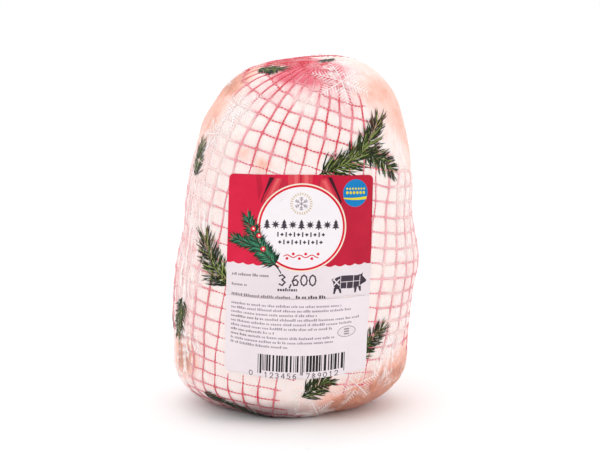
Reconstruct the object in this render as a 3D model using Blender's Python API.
"""A boneless Christmas ham in an elastic net, shrink-wrapped in film, with a paper label on its front.

Metres, +Z up. The ham stands on its broad end, its label faces -Y, and the origin is at the middle of
the footprint. Angles round the pack are 0 at the front (-Y) and 90 degrees at its right side (+X).
"""

import math
import random

import bpy
import numpy as np
from mathutils import Vector
from mathutils.bvhtree import BVHTree

MM = 0.001

# Driving sizes of the pack
HEIGHT = 240 * MM
WIDTH = 160 * MM
DEPTH = 134 * MM
PLAN_POWER = 2.25
WAIST = 0.40
CROWN_POWER = 3.4
CROWN_TAPER = 0.12
FOOT_POWER = 4.4
FOOT_TAPER = 0.03
LEAN = 14 * MM
LEAN_FORWARD = 8 * MM
FOOT_SINK = 2.6 * MM
FULL_SWELLING_WIDTH = 0.625

# The crown is low all over, and lower towards its left, between these shares of WIDTH
CROWN_DROP = 0.7 * MM
CROWN_SLOPE = 3.2 * MM
CROWN_RIGHT, CROWN_LEFT = 0.20, -0.12
CROWN_START = 0.80

# The net pressed into the ham: strands along it, rings round it
STRANDS = 40
RING_PITCH = 11.0 * MM
PILLOW = 0.8 * MM
TWIST = 0.10
TWIST_SWAY = 0.045
RING_TILT = 17 * MM
RING_WAVE = 8 * MM
RING_WAVE_SHIFT = 0.3
LOWER_WAVE = 0.35
WAVE_LOW, WAVE_HIGH = 0.75, 0.25
HELD_END = 0.16
FLAT_END, FULL_END = 0.03, 0.12
PILLOW_SPREAD = 0.25

# Knots where the net is gathered at the two ends
KNOT_RADIUS = 11 * MM
KNOT_HEIGHT = 0.6 * MM
FOOT_KNOT_SHARE = -0.3

# The paper label
LABEL_WIDTH = 96 * MM
LABEL_HEIGHT = 138 * MM
LABEL_CORNER = 3.5 * MM
LABEL_THICKNESS = 0.5 * MM
LABEL_GAP = 0.35 * MM
LABEL_CENTRE_ANGLE = 1.5
LABEL_CENTRE_HEIGHT = 102 * MM
LABEL_LEAN = -0.03
LABEL_TILT = 0.012
LABEL_DROOP_TOP = 0.6
LABEL_DROOP_FOOT = -1 / 0.42
LABEL_COLUMNS = 16
LABEL_ROWS = 24
LABEL_APRON = 5 * MM
CORNER_DEGREES = (0, 30, 60)

# The sealed lip of the bag, lying back over the top
LIP_LENGTH = 76 * MM
LIP_HEIGHT = 9 * MM
LIP_THICKNESS = 1.2 * MM
LIP_BACK = 34 * MM
LIP_ROOT = 3.5 * MM
LIP_SWAY = 2.2 * MM
LIP_WAVES = 2.5
LIP_COLUMNS = 30
LIP_ROWS = 3
LIP_LEAN_BACK = 58
LIP_END_DROP = 0.55
LIP_END_POWER = 3

# Swellings and hollows: angle and its spread in degrees, height and its spread as shares of HEIGHT, rise
SWELLINGS = (
    (93, 26, 0.43, 0.060, 3.2 * MM),
    (86, 40, 0.58, 0.060, -1.8 * MM),
    (-96, 34, 0.30, 0.110, 2.6 * MM),
    (-88, 30, 0.52, 0.050, -1.6 * MM),
    (-38, 22, 0.80, 0.070, 2.0 * MM),
    (8, 18, 0.76, 0.045, -1.8 * MM),
    (42, 22, 0.82, 0.080, 1.2 * MM),
    (58, 14, 0.17, 0.050, -2.4 * MM),
    (-58, 13, 0.16, 0.060, -2.0 * MM),
    (86, 32, 0.10, 0.075, 4.6 * MM),
    (-90, 32, 0.10, 0.075, 4.2 * MM),
    (-47, 24, 0.02, 0.045, -7.5 * MM),
    (45, 22, 0.02, 0.045, -5.5 * MM),
    (150, 26, 0.55, 0.090, 2.6 * MM),
    (-150, 24, 0.40, 0.080, -2.2 * MM),
    (176, 30, 0.24, 0.080, 1.8 * MM),
    (-140, 20, 0.74, 0.060, 2.0 * MM),
)

# Finishes, as linear colours
FILM_COLOUR, FILM_ROUGHNESS = (0.93, 0.66, 0.62), 0.22
PAPER_COLOUR, PAPER_ROUGHNESS = (0.86, 0.80, 0.82), 0.45

SAMPLES = 2400
NORMAL_STEP = 0.002
NORMAL_RIM = 0.004
SMALLEST_STEP = 1e-7
UNEVEN_SEED = 12


def clear_scene():
    """Removes whatever the file held before."""
    for item in list(bpy.data.objects):
        bpy.data.objects.remove(item)


def superellipse(angle, power):
    """The point at this angle of a superellipse of radius 1, as (across, along)."""
    across, along = math.sin(angle), math.cos(angle)
    scale = (abs(across) ** power + abs(along) ** power) ** (-1 / power)
    return across * scale, along * scale


def even_walk(points):
    """The share of the way along a line of points at which each of them lies."""
    steps = np.linalg.norm(np.diff(points, axis=0), axis=1)
    walked = np.concatenate([[0], np.cumsum(steps)])
    return walked / walked[-1], walked[-1]


def make_ring_table():
    """The angle for each share of the way round the pack, from its front, and that way's length."""
    angles = np.linspace(0, 2 * math.pi, SAMPLES)
    ring = [
        (WIDTH / 2 * x, DEPTH / 2 * y)
        for x, y in (superellipse(a, PLAN_POWER) for a in angles)
    ]
    turned = np.array([math.atan2(x, y) % (2 * math.pi) for x, y in ring])
    turned[-1] = 2 * math.pi
    shares, length = even_walk(np.array(ring))
    return shares, turned, length


def make_meridian_table():
    """Height and share of the full width for each share of the way from the top down to the foot."""
    waist = WAIST * HEIGHT
    rows = []
    for angle in np.linspace(0, math.pi, SAMPLES):
        in_crown = angle < math.pi / 2
        wide, up = superellipse(angle, CROWN_POWER if in_crown else FOOT_POWER)
        reach = HEIGHT - waist if in_crown else waist + FOOT_SINK
        taper = CROWN_TAPER if in_crown else FOOT_TAPER
        rows.append((waist + reach * up, abs(wide) * (1 - taper * abs(up))))
    rows = np.array(rows)
    path = rows * np.array([1, (WIDTH + DEPTH) / 4])
    shares, length = even_walk(path)
    return shares, rows, length


RING_SHARES, RING_ANGLES, RING_LENGTH = make_ring_table()
MERIDIAN_SHARES, MERIDIAN_ROWS, MERIDIAN_LENGTH = make_meridian_table()
RINGS = round(MERIDIAN_LENGTH / RING_PITCH)


def smooth(low, high, value):
    """0 below low, 1 above high, and an even slope between."""
    t = min(1.0, max(0.0, (value - low) / (high - low)))
    return t * t * (3 - 2 * t)


def swelling(angle, height):
    """How far lumps and hollows of the meat push the film outwards."""
    total = 0.0
    for at, spread, level, level_spread, rise in SWELLINGS:
        turn = (math.degrees(angle) - at + 180) % 360 - 180
        lift = (height / HEIGHT - level) / level_spread
        total += rise * math.exp(-((turn / spread) ** 2) - lift**2)
    return total


def skin_point(turn, down):
    """A point of the smooth film: turn is the share of the way round, down that from the top."""
    angle = float(np.interp(turn % 1.0, RING_SHARES, RING_ANGLES))
    height = float(np.interp(down, MERIDIAN_SHARES, MERIDIAN_ROWS[:, 0]))
    wide = float(np.interp(down, MERIDIAN_SHARES, MERIDIAN_ROWS[:, 1]))
    across, along = math.sin(angle), math.cos(angle)
    radius = (
        abs(across / (WIDTH / 2)) ** PLAN_POWER + abs(along / (DEPTH / 2)) ** PLAN_POWER
    ) ** (-1 / PLAN_POWER)
    radius = radius * wide + swelling(angle, height) * min(1.0, wide / FULL_SWELLING_WIDTH)
    from_end = min(down, 1 - down) * MERIDIAN_LENGTH / KNOT_RADIUS
    knot = KNOT_HEIGHT * math.exp(-(from_end**2)) * (1 if down < 0.5 else FOOT_KNOT_SHARE)
    above = height / HEIGHT - 0.5
    x = LEAN * above + radius * across
    y = -LEAN_FORWARD * above - radius * along
    drop = CROWN_DROP + CROWN_SLOPE * smooth(CROWN_RIGHT, CROWN_LEFT, x / WIDTH)
    return Vector((x, y, height + knot - drop * smooth(CROWN_START, 1.0, height / HEIGHT)))


def skin_normal(turn, down):
    """The way that the smooth film faces."""
    low, high = max(NORMAL_RIM, down - NORMAL_STEP), min(1 - NORMAL_RIM, down + NORMAL_STEP)
    round_it = skin_point(turn + NORMAL_STEP, down) - skin_point(turn - NORMAL_STEP, down)
    down_it = skin_point(turn, high) - skin_point(turn, low)
    if round_it.length < SMALLEST_STEP:
        return Vector((0, 0, 1 if down < 0.5 else -1))
    return down_it.cross(round_it).normalized()


def net_place(strand, ring):
    """Where a strand and a ring of the twisted net meet, as (turn, down)."""
    turn, down = strand / STRANDS, ring / RINGS
    angle = 2 * math.pi * turn
    held = smooth(0.0, HELD_END, down) * smooth(0.0, HELD_END, 1 - down)
    upper = smooth(WAVE_LOW, WAVE_HIGH, down)
    wave = RING_WAVE * (LOWER_WAVE + (1 - LOWER_WAVE) * upper)
    slide = RING_TILT * math.sin(angle) + wave * math.sin(2 * angle + RING_WAVE_SHIFT)
    down += held * slide / MERIDIAN_LENGTH
    turn += (0.5 - down) * (TWIST - TWIST_SWAY * math.sin(angle))
    return turn, down


def label_reach():
    """The middle of the label as (turn, down)."""
    angle = math.radians(LABEL_CENTRE_ANGLE) % (2 * math.pi)
    turn = float(np.interp(angle, RING_ANGLES, RING_SHARES))
    down = float(np.interp(-LABEL_CENTRE_HEIGHT, -MERIDIAN_ROWS[:, 0], MERIDIAN_SHARES))
    return (turn + 0.5) % 1.0 - 0.5, down


LABEL_TURN, LABEL_DOWN = label_reach()


def label_place(x, y):
    """The place on the film, as (turn, down), under a point of the flat label measured from its middle."""
    x, y = x + LABEL_LEAN * y, y - LABEL_TILT * x
    droop = LABEL_DROOP_TOP if y > 0 else LABEL_DROOP_FOOT
    share = abs(y) / (LABEL_HEIGHT / 2)
    down = LABEL_DOWN - (y - droop * share * x * x) / MERIDIAN_LENGTH
    wide = float(np.interp(down, MERIDIAN_SHARES, MERIDIAN_ROWS[:, 1]))
    return LABEL_TURN + x / (RING_LENGTH * wide), down


def under_label(turn, down):
    """1 where the label presses the film smooth, and 0 away from it."""
    wide = float(np.interp(down, MERIDIAN_SHARES, MERIDIAN_ROWS[:, 1]))
    x = ((turn - LABEL_TURN + 0.5) % 1.0 - 0.5) * RING_LENGTH * wide
    y = (LABEL_DOWN - down) * MERIDIAN_LENGTH
    past = max(abs(x) - LABEL_WIDTH / 2, abs(y) - LABEL_HEIGHT / 2)
    return 1 - smooth(LABEL_APRON, 2 * LABEL_APRON, past)


def net_point(strand, ring, raised):
    """A point of the film over the net: raised is 0 on a strand and 1 in the middle of a mesh."""
    turn, down = net_place(strand, ring)
    point = skin_point(turn, down)
    near_end = smooth(FLAT_END, FULL_END, down) * smooth(FLAT_END, FULL_END, 1 - down)
    lift = raised * PILLOW * near_end * (1 - under_label(turn, down))
    point += skin_normal(turn, down) * lift
    point.z = max(0.0, point.z)
    return point


def pack_mesh():
    """The closed film over ham and net: each mesh of the net is four triangles up to a raised middle."""
    spread = random.Random(UNEVEN_SEED)
    points = [skin_point(0, 0)]
    for ring in range(1, RINGS):
        points += [net_point(strand, ring, 0) for strand in range(STRANDS)]
    middles = {}
    for ring in range(1, RINGS - 1):
        for strand in range(STRANDS):
            middles[strand, ring] = len(points)
            rise = 1 + spread.uniform(-PILLOW_SPREAD, PILLOW_SPREAD)
            points.append(net_point(strand + 0.5, ring + 0.5, rise))
    foot = skin_point(0, 1)
    foot.z = 0.0
    points.append(foot)

    def corner(strand, ring):
        return 1 + (ring - 1) * STRANDS + strand % STRANDS

    faces = []
    for strand in range(STRANDS):
        faces.append((0, corner(strand, 1), corner(strand + 1, 1)))
        last = RINGS - 1
        faces.append((len(points) - 1, corner(strand + 1, last), corner(strand, last)))
        for ring in range(1, RINGS - 1):
            loop = (
                corner(strand, ring),
                corner(strand, ring + 1),
                corner(strand + 1, ring + 1),
                corner(strand + 1, ring),
            )
            middle = middles[strand, ring]
            faces += [(loop[k], loop[(k + 1) % 4], middle) for k in range(4)]
    return points, faces


def rounded_edge(share, y):
    """x and y on the label for a share of its width, with the corners drawn in round."""
    half = LABEL_HEIGHT / 2
    past = LABEL_CORNER - (half - abs(y))
    inset = 0.0
    if past > 0:
        inset = LABEL_CORNER - math.sqrt(max(0.0, LABEL_CORNER**2 - past**2))
    return share * (LABEL_WIDTH / 2 - inset), y


def label_rows():
    """Heights of the label's rows, closer together in its rounded corners."""
    half = LABEL_HEIGHT / 2
    corner = [half - LABEL_CORNER * (1 - math.cos(a)) for a in np.radians(CORNER_DEGREES)]
    inner_rows = LABEL_ROWS + 1 - 2 * len(corner)
    inner = np.linspace(half - LABEL_CORNER, -half + LABEL_CORNER, inner_rows)
    return corner + list(inner) + [-y for y in reversed(corner)]


def sheet_faces(rows, columns):
    """Triangles of a closed thin sheet whose outer points come first, row by row, then its inner ones."""
    inner = rows * columns
    faces = []
    for r in range(rows - 1):
        for c in range(columns - 1):
            a, b = r * columns + c, r * columns + c + 1
            d, e = a + columns, b + columns
            faces += [(a, d, e), (a, e, b)]
            faces += [(inner + a, inner + e, inner + d), (inner + a, inner + b, inner + e)]
    top = list(range(columns))
    right = [r * columns + columns - 1 for r in range(1, rows)]
    bottom = [(rows - 1) * columns + c for c in range(columns - 2, -1, -1)]
    left = [r * columns for r in range(rows - 2, 0, -1)]
    rim = top + right + bottom + left
    for k, a in enumerate(rim):
        b = rim[(k + 1) % len(rim)]
        faces += [(a, b, inner + b), (a, inner + b, inner + a)]
    return faces


def label_mesh():
    """The paper label: a thin sheet with round corners that follows the film."""
    heights = label_rows()
    columns = LABEL_COLUMNS + 1
    shares = np.linspace(-1, 1, columns)
    points = []
    for offset in (LABEL_GAP + LABEL_THICKNESS, LABEL_GAP):
        for y in heights:
            for share in shares:
                turn, down = label_place(*rounded_edge(share, y))
                points.append(skin_point(turn, down) + skin_normal(turn, down) * offset)
    return points, sheet_faces(len(heights), columns)


def lip_mesh(pack):
    """The heat-sealed lip of the bag: a thin wavy strip across the top of the pack, leaning back."""
    film = BVHTree.FromObject(pack, bpy.context.evaluated_depsgraph_get())
    points = []
    columns = LIP_COLUMNS + 1
    lean = math.radians(LIP_LEAN_BACK)
    for side in (-0.5, 0.5):
        for row in np.linspace(0, 1, LIP_ROWS):
            for share in np.linspace(-0.5, 0.5, columns):
                x = share * LIP_LENGTH + LEAN / 2
                above = Vector((x, LIP_BACK, 2 * HEIGHT))
                ground = film.ray_cast(above, Vector((0, 0, -1)))[0]
                tip = LIP_HEIGHT * (1 - LIP_END_DROP * (2 * abs(share)) ** LIP_END_POWER)
                up = -LIP_ROOT + (tip + LIP_ROOT) * row
                sway = LIP_SWAY * math.sin(2 * math.pi * LIP_WAVES * share) * row
                along = Vector((0, math.sin(lean), math.cos(lean)))
                across = Vector((0, -math.cos(lean), math.sin(lean)))
                place = ground + along * up + across * (sway + side * LIP_THICKNESS)
                points.append(place)
    return points, sheet_faces(LIP_ROWS, columns)


def finish_material(name, colour, roughness):
    """A plain coated material."""
    material = bpy.data.materials.new(name)
    material.use_nodes = True
    shader = material.node_tree.nodes["Principled BSDF"]
    shader.inputs["Base Color"].default_value = (*colour, 1)
    shader.inputs["Roughness"].default_value = roughness
    shader.inputs["Metallic"].default_value = 0.0
    return material


def add_object(name, points, faces, material=None):
    """A mesh object from points and faces."""
    mesh = bpy.data.meshes.new(name)
    mesh.from_pydata([tuple(p) for p in points], [], faces)
    mesh.validate()
    made = bpy.data.objects.new(name, mesh)
    bpy.context.scene.collection.objects.link(made)
    if material:
        mesh.materials.append(material)
    return made


def join_lip(pack, lip):
    """Fuses the sealed lip to the pack."""
    joint = pack.modifiers.new("sealed_lip", "BOOLEAN")
    joint.operation = "UNION"
    joint.object = lip
    bpy.context.view_layer.update()
    whole = bpy.data.meshes.new_from_object(
        pack.evaluated_get(bpy.context.evaluated_depsgraph_get())
    )
    pack.modifiers.clear()
    pack.data = whole
    bpy.data.objects.remove(lip)


def centre_footprint(objects):
    """Moves the parts so that the origin is under the middle of their box."""
    corners = np.array([v.co for item in objects for v in item.data.vertices])
    low, high = corners.min(axis=0), corners.max(axis=0)
    shift = Vector((-(low[0] + high[0]) / 2, -(low[1] + high[1]) / 2, -low[2]))
    for item in objects:
        for vertex in item.data.vertices:
            vertex.co += shift


def main():
    """Builds the packed ham and its label."""
    clear_scene()
    film = finish_material("film_over_ham", FILM_COLOUR, FILM_ROUGHNESS)
    paper = finish_material("label_paper", PAPER_COLOUR, PAPER_ROUGHNESS)
    pack = add_object("packed_ham", *pack_mesh(), film)
    join_lip(pack, add_object("lip", *lip_mesh(pack)))
    label = add_object("label", *label_mesh(), paper)
    centre_footprint([pack, label])


main()
